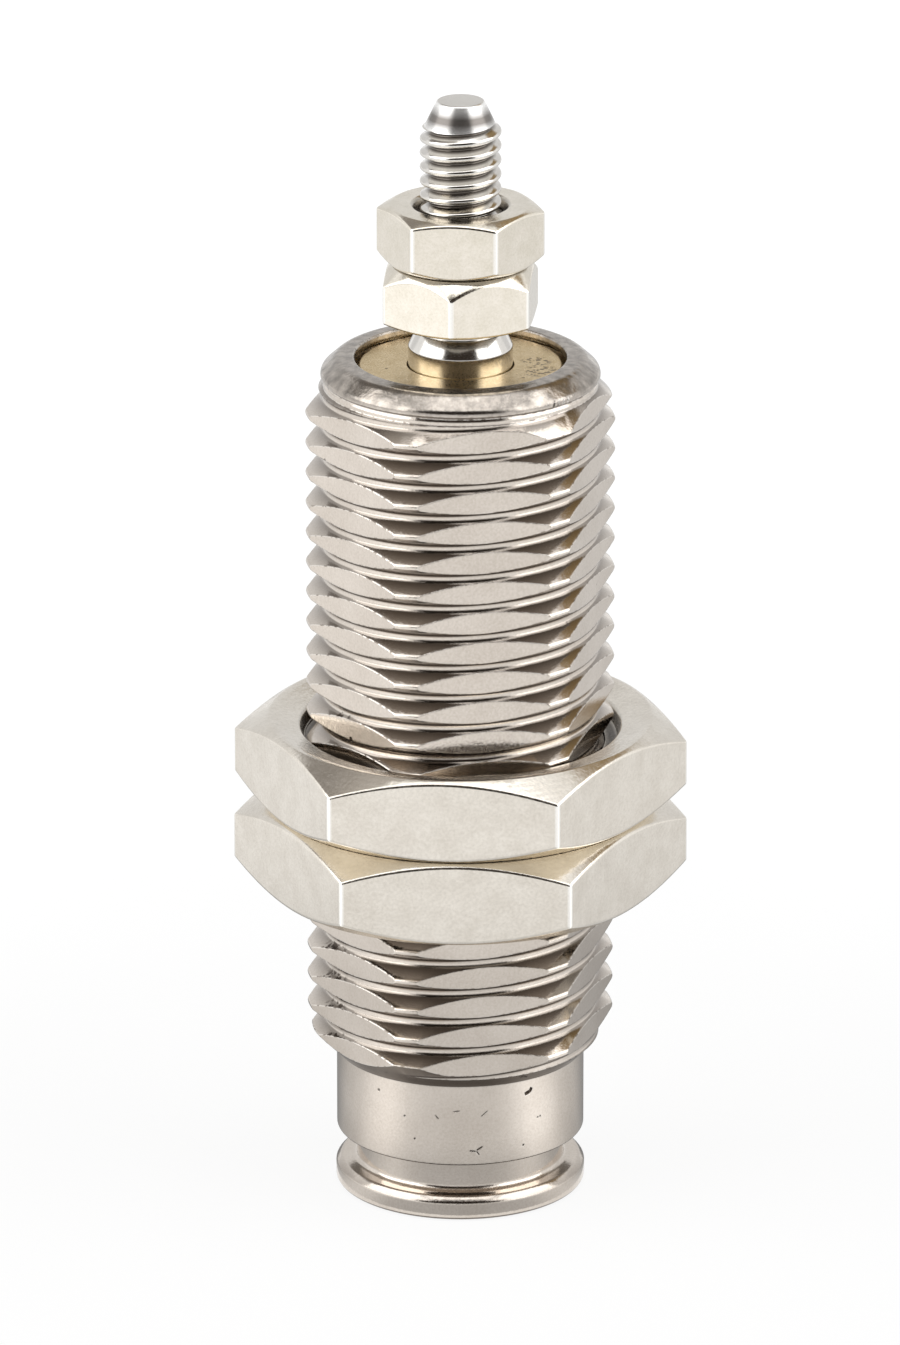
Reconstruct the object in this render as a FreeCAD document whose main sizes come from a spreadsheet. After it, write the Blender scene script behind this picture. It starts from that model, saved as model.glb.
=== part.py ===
# Panel-mounted needle cylinder, single acting with a spring return, bore 10 mm and stroke 15 mm.
# Millimetres. The rear face lies on Z = 0 and the rod points up along +Z. Threads are plain walls
# at their major diameter, and each nut's bore clears the wall that it screws onto.
import FreeCAD, Part
import math
import os

import Sketcher

# Driving sizes
DRIVING = {
    # outside of the cylinder body, stacked from the rear face up
    "flange_radius": 6.05,
    "flange_height": 1.2,
    "flange_bevel": 0.3,
    "groove_depth": 1.0,
    "groove_height": 1.65,
    "tail_radius": 6.0,
    "tail_height": 4.1,
    "runout_height": 1.45,
    "thread_radius": 7.43,
    "thread_length": 31.35,
    "thread_start_height": 0.75,
    "rim_step": 0.78,
    "rim_height": 1.52,
    "rim_bevel": 0.6,
    "flat_depth": 0.73,
    "body_turn": 9.5,
    # inside of the cylinder body
    "bore_radius": 5.0,
    "port_radius": 2.1,
    "port_depth": 4.6,
    "port_mouth": 0.45,
    "passage_radius": 1.0,
    "passage_length": 1.4,
    "lip_overlap": 0.55,
    "lip_thickness": 0.4,
    # guide collar and its bush
    "collar_shoulder_width": 0.55,
    "collar_head_height": 2.15,
    "collar_length": 5.55,
    "collar_face_wall": 0.5,
    "bush_wall": 0.75,
    "bush_inset": 0.15,
    # piston rod
    "rod_radius": 2.5,
    "rod_show": 0.55,
    "rod_chamfer": 0.4,
    "rod_chamfer_height": 0.48,
    "rod_thread_radius": 1.97,
    "rod_thread_length": 10.22,
    "rod_point_inset": 0.27,
    "rod_point_step": 0.18,
    "rod_point_height": 1.22,
    "rod_tip_radius": 1.12,
    "rod_tail_radius": 1.7,
    "rod_tail_margin": 0.45,
    # piston, its seal and its retaining clip
    "stroke": 15.0,
    "piston_height": 6.0,
    "piston_web": 3.3,
    "clip_recess_depth": 1.18,
    "clip_radius": 3.0,
    "clip_thickness": 0.6,
    "clip_groove_depth": 0.55,
    "clip_gap_width": 2.0,
    "seal_groove_depth": 1.42,
    "seal_groove_height": 1.9,
    "seal_groove_rise": 2.0,
    "seal_lip_depth": 0.65,
    "seal_flare": 0.12,
    "nose_wall": 0.68,
    # bumpers and return spring
    "rear_bumper_width": 1.8,
    "rear_bumper_height": 1.0,
    "front_bumper_height": 0.95,
    "spring_gap": 0.55,
    "spring_wire": 0.6,
    "spring_turns": 8.0,
    # panel nuts
    "panel_nut_wall": 2.0,
    "panel_nut_height": 4.15,
    "panel_nut_inset": 0.25,
    "panel_nut_land": 0.25,
    "panel_nut_mouth": 0.9,
    "panel_nut_setback": 7.1,
    "rear_nut_turn": -1.4,
    "front_nut_turn": -5.0,
    # rod nuts
    "rod_nut_wall": 1.47,
    "rod_nut_height": 2.85,
    "rod_nut_inset": 0.22,
    "rod_nut_land": 0.93,
    "rod_nut_mouth": 0.32,
    "rod_nut_setback": 0.8,
    "inner_nut_turn": 23.4,
    "outer_nut_turn": -5.2,
    "nut_chamfer_angle": 30.0,
    # clearances
    "face_gap": 0.02,
    "fit_gap": 0.02,
    "collar_gap": 0.03,
    "collar_hole_gap": 0.05,
    "running_gap": 0.03,
    "piston_gap": 0.08,
    "bumper_gap": 0.1,
    "clip_recess_gap": 0.15,
    "rod_nut_gap": 0.06,
    "panel_nut_gap": 0.07,
    "stop_gap": 0.05,
}

# Sizes that follow from the driving ones
DERIVED = {
    # cylinder body
    "groove_radius": "tail_radius - groove_depth",
    "groove_top": "flange_height + groove_height",
    "tail_top": "groove_top + tail_height",
    "thread_bottom": "tail_top + runout_height",
    "thread_top": "thread_bottom + thread_length",
    "rim_bottom": "thread_top + thread_start_height",
    "rim_radius": "thread_radius - rim_step",
    "body_top": "rim_bottom + rim_height",
    "body_flats": "2 * (thread_radius - flat_depth)",
    "flat_length": "rim_bottom - tail_top",
    "bore_floor": "port_depth + passage_length",
    "port_mouth_radius": "port_radius + port_mouth",
    # guide collar and bush
    "collar_top": "body_top - lip_thickness",
    "collar_shoulder": "collar_top - collar_head_height",
    "collar_bottom": "collar_top - collar_length",
    "collar_head_radius": "bore_radius + collar_shoulder_width",
    "collar_seat_radius": "collar_head_radius + collar_gap",
    "collar_radius": "bore_radius - collar_gap",
    "collar_hole_radius": "rod_radius + collar_hole_gap",
    "lip_radius": "collar_head_radius - lip_overlap",
    "bush_hole_radius": "rod_radius + running_gap",
    "bush_radius": "bush_hole_radius + bush_wall",
    "bush_seat_radius": "bush_radius + fit_gap",
    "bush_top": "collar_top - collar_face_wall",
    "bush_bottom": "collar_bottom + bush_inset",
    # piston group in its rest place on the rear bumper
    "rear_bumper_radius": "bore_radius - bumper_gap",
    "rear_bumper_hole": "rear_bumper_radius - rear_bumper_width",
    "rear_bumper_top": "bore_floor + rear_bumper_height",
    "piston_radius": "bore_radius - piston_gap",
    "piston_bottom": "rear_bumper_top + face_gap",
    "piston_shoulder": "piston_bottom + piston_height",
    "clip_seat": "piston_bottom + clip_recess_depth",
    "clip_recess_radius": "clip_radius + clip_recess_gap",
    "rod_shoulder": "clip_seat + piston_web",
    "rod_seat_radius": "rod_radius + fit_gap",
    "rod_tail_hole": "rod_tail_radius + fit_gap",
    "nose_radius": "rod_seat_radius + nose_wall",
    "front_bumper_top": "collar_bottom - stroke - stop_gap",
    "front_bumper_bottom": "front_bumper_top - front_bumper_height",
    "nose_top": "front_bumper_bottom - face_gap",
    "seal_groove_radius": "piston_radius - seal_groove_depth",
    "seal_groove_bottom": "piston_bottom + seal_groove_rise",
    "seal_groove_top": "seal_groove_bottom + seal_groove_height",
    "seal_bottom": "seal_groove_bottom + face_gap",
    "seal_top": "seal_groove_top - face_gap",
    "seal_valley": "seal_bottom + seal_lip_depth",
    "seal_hole_radius": "seal_groove_radius + fit_gap",
    "seal_lip_radius": "bore_radius - running_gap",
    "seal_heel_radius": "seal_lip_radius - seal_flare",
    "seal_middle_radius": "(seal_hole_radius + seal_heel_radius) / 2",
    "seal_inner_edge": "(seal_hole_radius + seal_middle_radius) / 2",
    "seal_outer_edge": "(seal_middle_radius + seal_lip_radius) / 2",
    "clip_top": "clip_seat - face_gap",
    "clip_bottom": "clip_top - clip_thickness",
    "clip_groove_radius": "rod_tail_radius - clip_groove_depth",
    "clip_hole_radius": "clip_groove_radius + fit_gap",
    "clip_groove_top": "clip_top + face_gap / 2",
    "clip_groove_bottom": "clip_bottom - face_gap / 2",
    # piston rod
    "rod_bottom": "clip_groove_bottom - rod_tail_margin",
    "rod_chamfer_bottom": "body_top + rod_show",
    "rod_chamfer_radius": "rod_radius - rod_chamfer",
    "rod_thread_bottom": "rod_chamfer_bottom + rod_chamfer_height",
    "rod_thread_top": "rod_thread_bottom + rod_thread_length",
    "rod_point_radius": "rod_thread_radius - rod_point_inset",
    "rod_point_bottom": "rod_thread_top + rod_point_step",
    "rod_top": "rod_point_bottom + rod_point_height",
    # return spring, its round wire drawn as a hexagon
    "wire_corner": "spring_wire / 2 / cos(30 deg)",
    "spring_radius": "nose_radius + spring_gap + wire_corner",
    "wire_outer_corner": "spring_radius + wire_corner",
    "wire_outer_side": "spring_radius + wire_corner / 2",
    "wire_inner_side": "spring_radius - wire_corner / 2",
    "wire_inner_corner": "spring_radius - wire_corner",
    "wire_bottom": "piston_shoulder + face_gap",
    "wire_middle": "wire_bottom + spring_wire / 2",
    "wire_top": "wire_bottom + spring_wire",
    "spring_rise": "collar_bottom - face_gap - wire_top",
    # nuts
    "rear_nut_bottom": "thread_bottom + panel_nut_setback",
    "front_nut_bottom": "rear_nut_bottom + panel_nut_height + face_gap",
    "inner_nut_bottom": "rod_thread_bottom + rod_nut_setback",
    "outer_nut_bottom": "inner_nut_bottom + rod_nut_height + face_gap",
    "panel_nut_hole": "thread_radius + panel_nut_gap",
    "panel_nut_flats": "2 * (panel_nut_hole + panel_nut_wall)",
    "panel_nut_face": "panel_nut_flats / 2 - panel_nut_inset",
    "panel_nut_mouth_radius": "panel_nut_face - panel_nut_land",
    "panel_nut_mouth_top": "panel_nut_height - panel_nut_mouth",
    "panel_nut_corner": "panel_nut_flats / 2 / cos(30 deg)",
    "panel_nut_drop": "(panel_nut_corner - panel_nut_face) * tan(nut_chamfer_angle * 1 deg)",
    "panel_nut_edge_top": "panel_nut_height - panel_nut_drop",
    "rod_nut_hole": "rod_thread_radius + rod_nut_gap",
    "rod_nut_flats": "2 * (rod_nut_hole + rod_nut_wall)",
    "rod_nut_face": "rod_nut_flats / 2 - rod_nut_inset",
    "rod_nut_mouth_radius": "rod_nut_face - rod_nut_land",
    "rod_nut_mouth_top": "rod_nut_height - rod_nut_mouth",
    "rod_nut_corner": "rod_nut_flats / 2 / cos(30 deg)",
    "rod_nut_drop": "(rod_nut_corner - rod_nut_face) * tan(nut_chamfer_angle * 1 deg)",
    "rod_nut_edge_top": "rod_nut_height - rod_nut_drop",
}

FLAT_COUNT = 6
EQUAL = 1e-7

doc = FreeCAD.newDocument("NeedleCylinder")


def cell_name(alias):
    sheet_name = "Sizes" if alias in DRIVING else "Levels"
    return sheet_name + "." + alias


def fill_sheets():
    # plain numbers go in one sheet and the sizes worked out from them in the other
    sizes = doc.addObject("Spreadsheet::Sheet", "Sizes")
    for row, (alias, value) in enumerate(DRIVING.items(), start=1):
        sizes.set(f"A{row}", alias.replace("_", " "))
        sizes.set(f"B{row}", str(value))
        sizes.setAlias(f"B{row}", alias)
    levels = doc.addObject("Spreadsheet::Sheet", "Levels")
    for row, (alias, formula) in enumerate(DERIVED.items(), start=1):
        words = formula.replace("(", "( ").replace(")", " )").split(" ")
        linked = ["Sizes." + word if word in DRIVING else word for word in words]
        levels.set(f"A{row}", alias.replace("_", " "))
        levels.setAlias(f"B{row}", alias)
        levels.set(f"B{row}", "=" + " ".join(linked))
    doc.recompute()
    return sizes, levels


sizes, levels = fill_sheets()


def value_of(alias):
    sheet = sizes if alias in DRIVING else levels
    return float(sheet.get(alias))


def new_body(label):
    body = doc.addObject("PartDesign::Body", label)
    body.Label = label
    return body


def origin_feature(body, role):
    return next(item for item in body.Origin.OriginFeatures if item.Role == role)


def new_sketch(body, name, plane_role):
    sketch = body.newObject("Sketcher::SketchObject", name)
    sketch.AttachmentSupport = [(origin_feature(body, plane_role), "")]
    sketch.MapMode = "FlatFace"
    return sketch


def add_outline(sketch, corners):
    # a closed outline of straight lines, each ending where the next one starts
    count = len(corners)
    for i, corner in enumerate(corners):
        start = FreeCAD.Vector(corner[0], corner[1], 0)
        following = corners[(i + 1) % count]
        end = FreeCAD.Vector(following[0], following[1], 0)
        sketch.addGeometry(Part.LineSegment(start, end), False)
    for i in range(count):
        sketch.addConstraint(Sketcher.Constraint("Coincident", i, 2, (i + 1) % count, 1))


def bind_distance(sketch, kind, line, value, expression):
    # the distance of a line's first point from the sketch origin (-1, 1) follows an expression
    first, second = (-1, 1), (line, 1)
    if value < 0:
        first, second = second, first
    index = sketch.addConstraint(Sketcher.Constraint(kind, *first, *second, abs(value)))
    sketch.setExpression(f"Constraints[{index}]", expression)


def section_sketch(body, name, corners):
    # section to one side of the axis; each corner is a radius and a height, None for zero
    sketch = new_sketch(body, name, "XZ_Plane")
    places = [tuple(0.0 if alias is None else value_of(alias) for alias in corner) for corner in corners]
    add_outline(sketch, places)
    for i, (radius, height) in enumerate(corners):
        if radius is None:
            sketch.addConstraint(Sketcher.Constraint("PointOnObject", i, 1, -2))
        else:
            bind_distance(sketch, "DistanceX", i, places[i][0], cell_name(radius))
        if height is None:
            sketch.addConstraint(Sketcher.Constraint("PointOnObject", i, 1, -1))
        else:
            bind_distance(sketch, "DistanceY", i, places[i][1], cell_name(height))
    return sketch


def turned_body(label, corners):
    body = new_body(label)
    sketch = section_sketch(body, label + "_section", corners)
    turning = body.newObject("PartDesign::Revolution", label + "_turning")
    turning.Profile = sketch
    turning.ReferenceAxis = (sketch, ["V_Axis"])
    turning.Angle = 360.0
    sketch.Visibility = False
    doc.recompute()
    return body, turning


def cut_flats(body, across_alias, reach_alias, bottom_alias, length_alias):
    # one flat is milled along the given length and repeated round the axis
    across = value_of(across_alias) / 2
    reach = value_of(reach_alias)
    sketch = new_sketch(body, body.Label + "_flat", "XY_Plane")
    if bottom_alias is not None:
        sketch.setExpression("AttachmentOffset.Base.z", cell_name(bottom_alias))
    corners = [(-reach, -across), (reach, -across), (reach, -reach - across), (-reach, -reach - across)]
    add_outline(sketch, corners)
    half_across = f"{cell_name(across_alias)} / 2"
    far = f"{cell_name(reach_alias)} + {half_across}"
    for i, (x, y) in enumerate(corners):
        bind_distance(sketch, "DistanceX", i, x, cell_name(reach_alias))
        bind_distance(sketch, "DistanceY", i, y, half_across if i < 2 else far)
    before = body.Shape.Volume
    pocket = body.newObject("PartDesign::Pocket", body.Label + "_flat_cut")
    pocket.Profile = sketch
    pocket.setExpression("Length", cell_name(length_alias))
    pocket.Reversed = True
    sketch.Visibility = False
    doc.recompute()
    flats = body.newObject("PartDesign::PolarPattern", body.Label + "_flats")
    flats.Originals = [pocket]
    flats.Axis = (origin_feature(body, "Z_Axis"), [""])
    flats.Angle = 360.0
    flats.Occurrences = FLAT_COUNT
    body.Tip = flats
    doc.recompute()
    if body.Shape.Volume >= before:
        raise RuntimeError(body.Label + ": the flats cut nothing")
    return flats


def bevel_edge(body, base, name, radius_alias, height_alias):
    # the round edge of the given radius and height is beveled by the size of the given name
    height = 0.0 if height_alias is None else value_of(height_alias)
    radius = value_of(radius_alias)
    found = []
    for i, edge in enumerate(base.Shape.Edges, start=1):
        curve = edge.Curve
        if not isinstance(curve, Part.Circle):
            continue
        same_radius = math.isclose(curve.Radius, radius, rel_tol=EQUAL)
        if same_radius and math.isclose(curve.Center.z, height, rel_tol=EQUAL, abs_tol=EQUAL):
            found.append(f"Edge{i}")
    bevel = body.newObject("PartDesign::Chamfer", body.Label + "_" + name)
    bevel.Base = (base, found)
    bevel.setExpression("Size", cell_name(name))
    body.Tip = bevel
    doc.recompute()
    return bevel


def place(body, height_alias, turn_alias):
    # a piece that is modelled on the ground is lifted to its height and turned about the axis
    body.Placement.Rotation = FreeCAD.Rotation(FreeCAD.Vector(0, 0, 1), 0)
    if height_alias is not None:
        body.setExpression("Placement.Base.z", cell_name(height_alias))
    if turn_alias is not None:
        body.setExpression("Placement.Rotation.Axis.z", "1")
        body.setExpression("Placement.Rotation.Angle", cell_name(turn_alias))


# Cylinder body: turned from hexagon bar, with a rolled lip over the collar
def make_cylinder_body():
    body, turning = turned_body("cylinder_body", [
        ("port_mouth_radius", None),
        ("flange_radius", None),
        ("flange_radius", "flange_height"),
        ("groove_radius", "flange_height"),
        ("groove_radius", "groove_top"),
        ("tail_radius", "groove_top"),
        ("tail_radius", "tail_top"),
        ("thread_radius", "thread_bottom"),
        ("thread_radius", "thread_top"),
        ("rim_radius", "rim_bottom"),
        ("rim_radius", "body_top"),
        ("lip_radius", "body_top"),
        ("lip_radius", "collar_top"),
        ("collar_seat_radius", "collar_top"),
        ("collar_seat_radius", "collar_shoulder"),
        ("bore_radius", "collar_shoulder"),
        ("bore_radius", "bore_floor"),
        ("passage_radius", "bore_floor"),
        ("passage_radius", "port_depth"),
        ("port_radius", "port_depth"),
        ("port_radius", "port_mouth"),
    ])
    flats = cut_flats(body, "body_flats", "thread_radius", "tail_top", "flat_length")
    rim = bevel_edge(body, flats, "rim_bevel", "rim_radius", "body_top")
    bevel_edge(body, rim, "flange_bevel", "flange_radius", None)
    place(body, None, "body_turn")
    return body


# Guide collar: the brass cover that the lip holds, with a seat for the bush
def make_guide_collar():
    body, _ = turned_body("guide_collar", [
        ("bush_seat_radius", "collar_bottom"),
        ("collar_radius", "collar_bottom"),
        ("collar_radius", "collar_shoulder"),
        ("collar_head_radius", "collar_shoulder"),
        ("collar_head_radius", "collar_top"),
        ("collar_hole_radius", "collar_top"),
        ("collar_hole_radius", "bush_top"),
        ("bush_seat_radius", "bush_top"),
    ])
    return body


# Guide bush: the sintered sleeve that the rod runs in
def make_guide_bush():
    body, _ = turned_body("guide_bush", [
        ("bush_hole_radius", "bush_bottom"),
        ("bush_radius", "bush_bottom"),
        ("bush_radius", "bush_top"),
        ("bush_hole_radius", "bush_top"),
    ])
    return body


# Rear bumper: the ring on the floor of the bore that the piston comes back onto
def make_rear_bumper():
    body, _ = turned_body("rear_bumper", [
        ("rear_bumper_hole", "bore_floor"),
        ("rear_bumper_radius", "bore_floor"),
        ("rear_bumper_radius", "rear_bumper_top"),
        ("rear_bumper_hole", "rear_bumper_top"),
    ])
    return body


# Return spring: one open helix between the piston's shoulder and the collar
def make_return_spring():
    body = new_body("return_spring")
    sketch = section_sketch(body, "return_spring_wire", [
        ("wire_outer_corner", "wire_middle"),
        ("wire_outer_side", "wire_top"),
        ("wire_inner_side", "wire_top"),
        ("wire_inner_corner", "wire_middle"),
        ("wire_inner_side", "wire_bottom"),
        ("wire_outer_side", "wire_bottom"),
    ])
    coil = body.newObject("PartDesign::AdditiveHelix", "return_spring_coil")
    coil.Profile = sketch
    coil.ReferenceAxis = (sketch, ["V_Axis"])
    coil.Mode = "height-turns-angle"
    coil.setExpression("Height", "Levels.spring_rise")
    coil.setExpression("Turns", "Sizes.spring_turns")
    sketch.Visibility = False
    doc.recompute()
    return body


# Piston rod: ground bar with a turned tail for the piston and a threaded end with a cone point
def make_piston_rod():
    body, _ = turned_body("piston_rod", [
        (None, "rod_bottom"),
        ("rod_tail_radius", "rod_bottom"),
        ("rod_tail_radius", "clip_groove_bottom"),
        ("clip_groove_radius", "clip_groove_bottom"),
        ("clip_groove_radius", "clip_groove_top"),
        ("rod_tail_radius", "clip_groove_top"),
        ("rod_tail_radius", "rod_shoulder"),
        ("rod_radius", "rod_shoulder"),
        ("rod_radius", "rod_chamfer_bottom"),
        ("rod_chamfer_radius", "rod_thread_bottom"),
        ("rod_thread_radius", "rod_thread_bottom"),
        ("rod_thread_radius", "rod_thread_top"),
        ("rod_point_radius", "rod_point_bottom"),
        ("rod_tip_radius", "rod_top"),
        (None, "rod_top"),
    ])
    return body


# Piston: a head with the seal groove, and a nose inside the spring that ends the stroke
def make_piston():
    body, _ = turned_body("piston", [
        ("clip_recess_radius", "piston_bottom"),
        ("piston_radius", "piston_bottom"),
        ("piston_radius", "seal_groove_bottom"),
        ("seal_groove_radius", "seal_groove_bottom"),
        ("seal_groove_radius", "seal_groove_top"),
        ("piston_radius", "seal_groove_top"),
        ("piston_radius", "piston_shoulder"),
        ("nose_radius", "piston_shoulder"),
        ("nose_radius", "nose_top"),
        ("rod_seat_radius", "nose_top"),
        ("rod_seat_radius", "rod_shoulder"),
        ("rod_tail_hole", "rod_shoulder"),
        ("rod_tail_hole", "clip_seat"),
        ("clip_recess_radius", "clip_seat"),
    ])
    return body


# Piston seal: a lip ring whose open side faces the air
def make_piston_seal():
    body, _ = turned_body("piston_seal", [
        ("seal_hole_radius", "seal_bottom"),
        ("seal_inner_edge", "seal_bottom"),
        ("seal_middle_radius", "seal_valley"),
        ("seal_outer_edge", "seal_bottom"),
        ("seal_lip_radius", "seal_bottom"),
        ("seal_heel_radius", "seal_valley"),
        ("seal_heel_radius", "seal_top"),
        ("seal_hole_radius", "seal_top"),
    ])
    return body


# Piston clip: an open spring ring in the groove of the rod's tail
def make_piston_clip():
    body, _ = turned_body("piston_clip", [
        ("clip_hole_radius", "clip_bottom"),
        ("clip_radius", "clip_bottom"),
        ("clip_radius", "clip_top"),
        ("clip_hole_radius", "clip_top"),
    ])
    sketch = new_sketch(body, "piston_clip_mouth", "XY_Plane")
    half = value_of("clip_gap_width") / 2
    reach = value_of("clip_radius")
    add_outline(sketch, [(-half, 0), (half, 0), (half, -reach), (-half, -reach)])
    half_width = "Sizes.clip_gap_width / 2"
    for i, x in enumerate((-half, half, half, -half)):
        bind_distance(sketch, "DistanceX", i, x, half_width)
    for i in (0, 1):
        sketch.addConstraint(Sketcher.Constraint("PointOnObject", i, 1, -1))
    for i in (2, 3):
        bind_distance(sketch, "DistanceY", i, -reach, "Sizes.clip_radius")
    before = body.Shape.Volume
    mouth = body.newObject("PartDesign::Pocket", "piston_clip_opening")
    mouth.Profile = sketch
    mouth.Type = "ThroughAll"
    mouth.Reversed = True
    sketch.Visibility = False
    doc.recompute()
    if body.Shape.Volume >= before:
        raise RuntimeError("piston_clip: the mouth cuts nothing")
    return body


# Front bumper: the soft ring on the piston's nose that meets the collar
def make_front_bumper():
    body, _ = turned_body("front_bumper", [
        ("rod_seat_radius", "front_bumper_bottom"),
        ("nose_radius", "front_bumper_bottom"),
        ("nose_radius", "front_bumper_top"),
        ("rod_seat_radius", "front_bumper_top"),
    ])
    return body


# Hexagon nut: a turned blank with its top or both faces chamfered, and six flats milled on it
def make_nut(label, family, bottom_alias, turn_alias, plain_bottom=False):
    chamfered = [(family + "_face", None), (family + "_corner", family + "_drop")]
    plain = [(family + "_corner", None)]
    body, _ = turned_body(label, [
        (family + "_mouth_radius", None),
        *(plain if plain_bottom else chamfered),
        (family + "_corner", family + "_edge_top"),
        (family + "_face", family + "_height"),
        (family + "_mouth_radius", family + "_height"),
        (family + "_hole", family + "_mouth_top"),
        (family + "_hole", family + "_mouth"),
    ])
    cut_flats(body, family + "_flats", family + "_corner", None, family + "_height")
    place(body, bottom_alias, turn_alias)
    return body


sub_parts = [
    make_cylinder_body(),
    make_guide_collar(),
    make_guide_bush(),
    make_rear_bumper(),
    make_return_spring(),
    make_piston_rod(),
    make_piston(),
    make_piston_seal(),
    make_piston_clip(),
    make_front_bumper(),
    make_nut("panel_nut_rear", "panel_nut", "rear_nut_bottom", "rear_nut_turn"),
    make_nut("panel_nut_front", "panel_nut", "front_nut_bottom", "front_nut_turn"),
    make_nut("rod_nut_inner", "rod_nut", "inner_nut_bottom", "inner_nut_turn", plain_bottom=True),
    make_nut("rod_nut_outer", "rod_nut", "outer_nut_bottom", "outer_nut_turn"),
]
doc.recompute()

# Nothing is written unless every object is sound
for item in doc.Objects:
    if "Invalid" in item.State or "Error" in item.State:
        raise RuntimeError(f"{item.Name} failed: {item.State}")
for body in sub_parts:
    shape = body.Shape
    if shape.isNull() or not shape.isValid() or len(shape.Solids) != 1:
        raise RuntimeError(body.Label + " isn't one valid solid")

os.makedirs("parts", exist_ok=True)
for body in sub_parts:
    body.Shape.exportStep(f"parts/{body.Label}.step")
    box = body.Shape.BoundBox
    print(f"{body.Label}: z {box.ZMin:.3f} to {box.ZMax:.3f}, volume {body.Shape.Volume:.1f} mm3")
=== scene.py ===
import math

import bmesh
import bpy
from mathutils import Matrix, Vector


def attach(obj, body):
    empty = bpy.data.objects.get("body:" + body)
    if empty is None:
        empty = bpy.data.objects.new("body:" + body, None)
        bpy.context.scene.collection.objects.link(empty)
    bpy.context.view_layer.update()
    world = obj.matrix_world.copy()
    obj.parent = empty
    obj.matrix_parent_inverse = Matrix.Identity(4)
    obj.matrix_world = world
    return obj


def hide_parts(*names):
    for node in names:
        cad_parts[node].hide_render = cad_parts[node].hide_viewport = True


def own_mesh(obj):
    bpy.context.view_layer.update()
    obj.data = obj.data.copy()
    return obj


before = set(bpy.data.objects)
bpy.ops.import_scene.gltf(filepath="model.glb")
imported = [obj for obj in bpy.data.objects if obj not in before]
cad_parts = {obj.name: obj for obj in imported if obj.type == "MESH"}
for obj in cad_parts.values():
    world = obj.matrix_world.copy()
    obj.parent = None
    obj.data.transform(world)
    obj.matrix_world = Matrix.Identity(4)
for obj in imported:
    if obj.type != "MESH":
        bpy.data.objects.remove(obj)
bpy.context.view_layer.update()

mm = 0.001  # pieces are drawn in millimetres and scaled to metres when they are done
turnSteps = 96  # facets round a turned piece
edgeSegments = 6  # facets across the rounded edge of a turned piece
fineSegments = 3  # and across the edges of threads and flats
mergeGap = 1e-5
planeGap = 1e-4  # a face this near to a cutting plane lies in it
seamGap = 2e-4  # a thread's turns are joined within this
spareTurns = 2  # turns of a thread past each end, cut off again
runOut = 1.0  # how far a thread cutter goes past its piece
sleeveInside = 0.8  # walls of a thread cutter, as parts of the thread's root and crest
sleeveOutside = 1.5
normalWeight = 80  # large faces lead the shading near an edge


def srgb(code):
    # hex colour as written for a screen, turned to linear light
    parts = [int(code[i:i + 2], 16) / 255 for i in (1, 3, 5)]
    return tuple(c / 12.92 if c <= 0.04045 else ((c + 0.055) / 1.055) ** 2.4 for c in parts) + (1.0,)


def addNode(tree, kind, settings=None, links=None):
    # settings go to a socket of that name or number, or else to the node itself;
    # a Mix node has its factor at 0, two numbers at 2 and 3, and two colours at 6 and 7
    node = tree.nodes.new(kind)
    for key, value in (settings or {}).items():
        if isinstance(key, int) or key in node.inputs:
            node.inputs[key].default_value = value
        else:
            setattr(node, key, value)
    for key, source in (links or {}).items():
        tree.links.new(source, node.inputs[key])
    return node


# Camera: a long lens a little above the object, square on to it
cameraSet = {
    "aim": (-0.5, 0.0, 26.0),
    "distance": 540.0,
    "elevation": 19.5,
    "lens": 300.6,
    "sensor": 36.0,
    "clip": (0.01, 20.0),  # metres
}


def makeCamera(s):
    aim = Vector(s["aim"]) * mm
    rise = math.radians(s["elevation"])
    back = Vector((0, -math.cos(rise), math.sin(rise))) * s["distance"] * mm
    data = bpy.data.cameras.new("camera")
    data.lens = s["lens"]
    data.sensor_width = s["sensor"]
    data.sensor_fit = "AUTO"
    data.clip_start, data.clip_end = s["clip"]
    camera = bpy.data.objects.new("camera", data)
    camera.location = aim + back
    camera.rotation_euler = (-back).to_track_quat("-Z", "Y").to_euler()
    bpy.context.scene.collection.objects.link(camera)
    bpy.context.scene.camera = camera


makeCamera(cameraSet)
print("camera placed")


# Mesh tools that every piece shares
def roundCorners(bm, corners, sizes, segments):
    # corners of a flat section get the rounding listed for each, and its face goes away again
    for size in sorted({size for size in sizes if size}):
        picked = [v for v, wanted in zip(corners, sizes) if wanted == size]
        bmesh.ops.bevel(bm, geom=picked, offset=size, offset_type="OFFSET", affect="VERTICES",
                        segments=segments, profile=0.5, material=-1)
    bmesh.ops.delete(bm, geom=bm.faces[:], context="FACES_ONLY")


def turnSolid(section):
    # each corner of the section is a radius, a height and the rounding of its edge
    bm = bmesh.new()
    corners = [bm.verts.new((radius, 0, height)) for radius, height, edge in section]
    bm.faces.new(corners)
    roundCorners(bm, corners, [edge for radius, height, edge in section], edgeSegments)
    onAxis = [e for e in bm.edges if all(abs(v.co.x) < mergeGap for v in e.verts)]
    bmesh.ops.delete(bm, geom=onAxis, context="EDGES")
    bmesh.ops.spin(bm, geom=bm.verts[:] + bm.edges[:], cent=(0, 0, 0), axis=(0, 0, 1),
                   angle=2 * math.pi, steps=turnSteps, use_merge=True)
    bmesh.ops.remove_doubles(bm, verts=bm.verts[:], dist=mergeGap)
    bmesh.ops.recalc_face_normals(bm, faces=bm.faces[:])
    return bm


def sliceOff(bm, place, outward):
    # what lies beyond the plane goes, and the opening is closed with one face
    cut = bmesh.ops.bisect_plane(bm, geom=bm.verts[:] + bm.edges[:] + bm.faces[:], dist=mergeGap,
                                 plane_co=place, plane_no=outward, clear_outer=True)
    rim = [item for item in cut["geom_cut"] if isinstance(item, bmesh.types.BMEdge)]
    bmesh.ops.edgeloop_fill(bm, edges=rim)


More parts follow.
